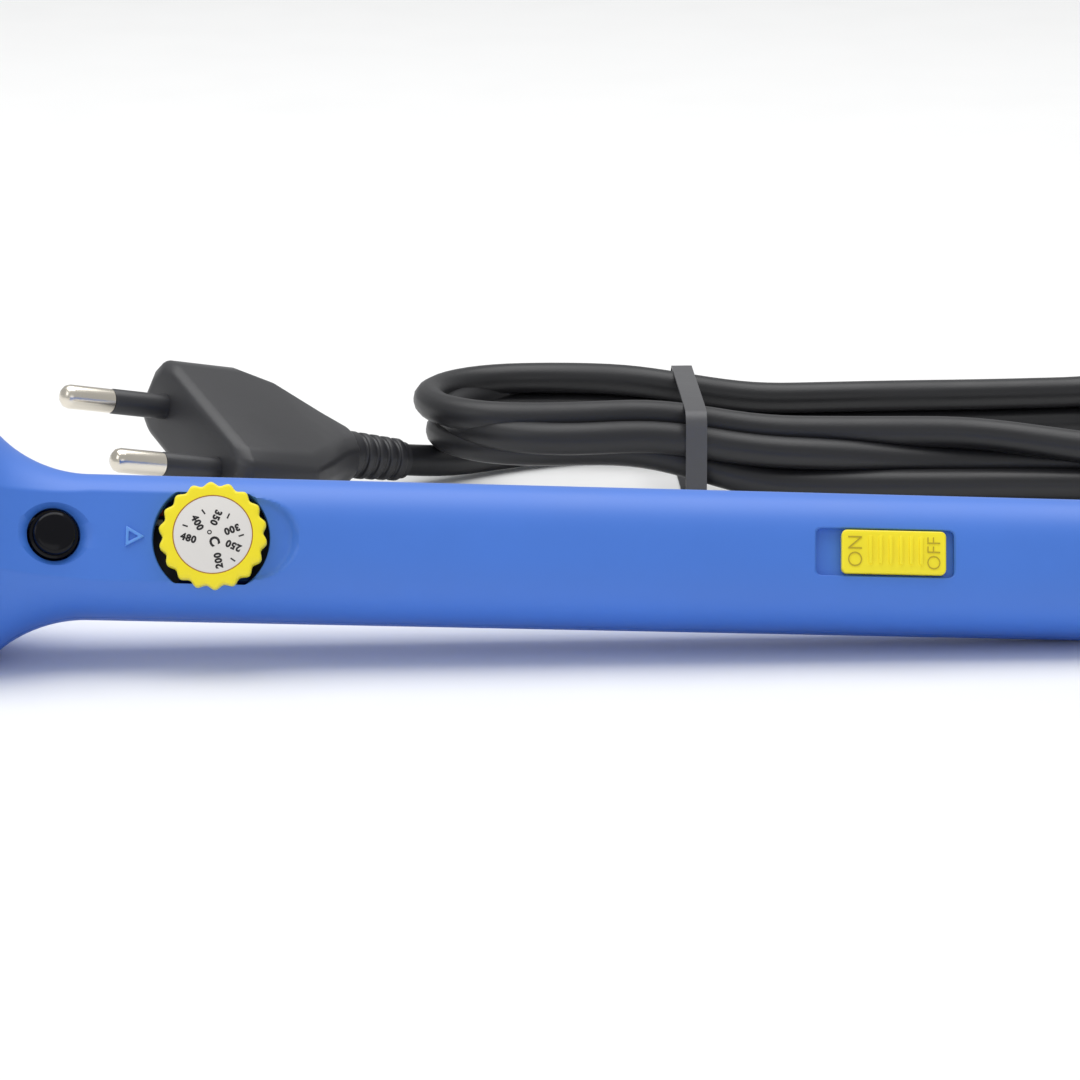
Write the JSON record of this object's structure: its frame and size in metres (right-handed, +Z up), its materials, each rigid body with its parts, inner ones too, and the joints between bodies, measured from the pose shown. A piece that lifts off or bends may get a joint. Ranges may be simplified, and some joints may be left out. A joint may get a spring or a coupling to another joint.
{
  "type": "soldering iron",
  "caption": "Mains soldering iron with a toothed temperature dial, slide switch, draw-off steel barrel and bit, folded cord and flat plug.",
  "frame": {"origin": "bottom centre of the iron's own box, on the surface that it lies on, the free cord and plug left out", "axes": "+X towards the cord end along the iron, -Y towards the dial's side, +Z up"},
  "size_m": [0.3349, 0.144, 0.0322],
  "materials": {
    "handle_plastic": "satin moulded, fine texture",
    "yellow_plastic": "semi-gloss moulded",
    "dial_print": "satin, printed",
    "smoked_window": "gloss",
    "fastener_steel": "zinc plated",
    "nickel_plate": "satin nickel",
    "barrel_steel": "turned stainless",
    "bit_plate": "plated copper",
    "ceramic": "fired alumina",
    "wire_cover": "soft insulation",
    "board": "solder resist",
    "component_case": "moulded epoxy",
    "fuse_glass": "clear",
    "boot_rubber": "matte",
    "cord_jacket": "satin jacket",
    "tie_plastic": "satin",
    "plug_rubber": "satin moulded"
  },
  "bodies": {
    "handle": {"handle_top_shell": "handle_plastic", "handle_bottom_shell": "handle_plastic", "shell_screw_1": "fastener_steel", "shell_screw_2": "fastener_steel", "shell_screw_3": "fastener_steel", "threaded_nipple": "nickel_plate", "ceramic_heater": "ceramic", "heater_bushing": "ceramic", "heater_lead_1": "wire_cover", "heater_lead_2": "wire_cover", "sensor_lead_1": "wire_cover", "sensor_lead_2": "wire_cover", "circuit_board": "board", "potentiometer": "component_case", "control_chip": "component_case", "triac": "component_case", "smoothing_capacitor": "component_case", "film_capacitor": "component_case", "dropper_resistor": "component_case", "rectifier_diode": "component_case", "glass_fuse": "fuse_glass", "indicator_light": "component_case", "indicator_lens": "smoked_window", "switch_body": "component_case", "cord_clamp": "fastener_steel", "clamp_screw_1": "fastener_steel", "clamp_screw_2": "fastener_steel", "live_wire": "wire_cover", "neutral_wire": "wire_cover", "switched_wire": "wire_cover", "strain_relief": "boot_rubber", "cord_inner_end": "cord_jacket", "cord_lead": "cord_jacket", "cord_hank": "cord_jacket", "cord_tail": "cord_jacket", "cord_tie": "tie_plastic", "plug_body": "plug_rubber", "plug_pin_1": "nickel_plate", "plug_pin_2": "nickel_plate", "pin_sleeve_1": "plug_rubber", "pin_sleeve_2": "plug_rubber"},
    "dial": {"dial_knob": "yellow_plastic", "dial_face": "dial_print", "dial_shaft": "nickel_plate"},
    "switch": {"switch_cap": "yellow_plastic", "switch_lever": "component_case"},
    "barrel": {"barrel_tube": "barrel_steel", "soldering_tip": "bit_plate"},
    "nut": {"retaining_nut": "nickel_plate"}
  },
  "joints": [
    {"name": "dial_turn", "type": "hinge", "parent": "handle", "child": "dial", "pos_m": [-0.01542, -0.01042, 0.01972], "axis": [0.0152, -0.9063, 0.4223], "range_deg": [-12, 268]},
    {"name": "switch_slide", "type": "slide", "parent": "handle", "child": "switch", "axis": [-0.9994, 0, 0.0359], "range_m": [0, 0.003]},
    {"name": "barrel_draw", "type": "slide", "parent": "handle", "child": "barrel", "axis": [-0.9994, 0, 0.0359], "range_m": [0, 0.056]},
    {"name": "nut_turn", "type": "hinge", "parent": "barrel", "child": "nut", "pos_m": [-0.06676, 0, 0.01671], "axis": [-0.9994, 0, 0.0359], "continuous": true}
  ]
}
